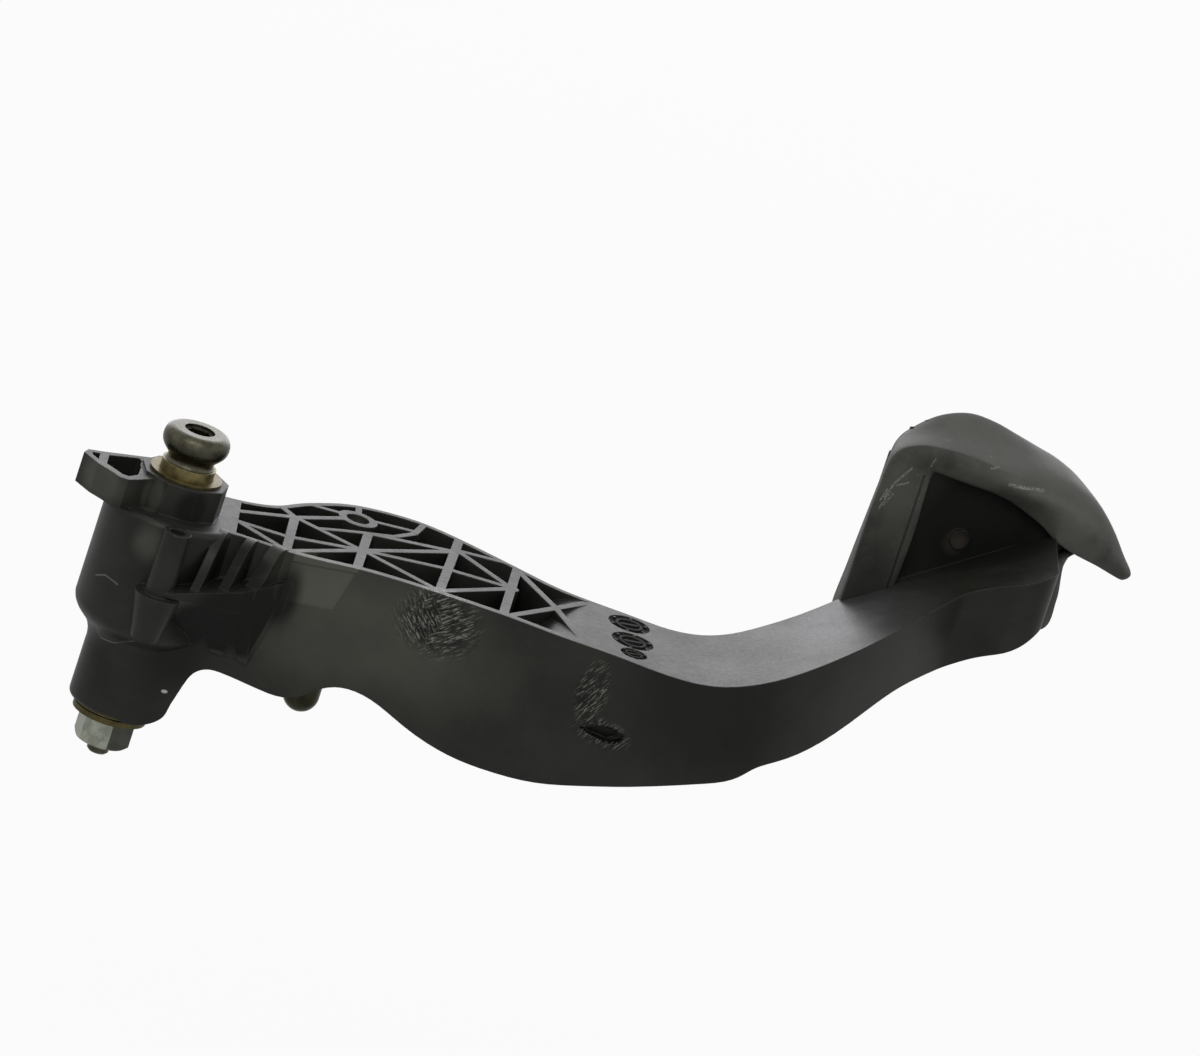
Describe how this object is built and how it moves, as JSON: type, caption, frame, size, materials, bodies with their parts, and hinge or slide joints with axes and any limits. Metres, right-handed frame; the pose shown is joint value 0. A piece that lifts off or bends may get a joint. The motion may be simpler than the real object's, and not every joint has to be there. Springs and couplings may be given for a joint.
{
  "type": "clutch pedal",
  "caption": "Moulded clutch pedal lever with a triangulated open lattice, bushed pivot hub, push-rod pin and a rubber foot pad, hung on its pivot bolt.",
  "frame": {"origin": "on the pivot axis, in the top face of the hub collar where the upper bush flange sits", "axes": "+Z along the pivot axis towards the bolt head, +X along the straight part of the arm towards the pad, +Y towards the driver"},
  "size_m": [0.3433, 0.1639, 0.1748],
  "materials": {
    "moulding": "satin",
    "rubber": "matte",
    "bolt_steel": "dull",
    "yellow_steel": "passivated",
    "nut_steel": "plated"
  },
  "bodies": {
    "pivot": {"pivot_bolt": "bolt_steel", "spacer_sleeve": "yellow_steel", "washer": "yellow_steel", "lock_nut": "nut_steel"},
    "pedal": {"pedal_lever": "moulding", "pad_cover": "rubber", "upper_bush": "yellow_steel", "lower_bush": "yellow_steel", "pushrod_pin": "bolt_steel"}
  },
  "joints": [
    {"name": "pedal_swing", "type": "hinge", "parent": "pivot", "child": "pedal", "pos_m": [0, 0, 0], "axis": [0, 0, -1], "range_deg": [0, 28]}
  ]
}
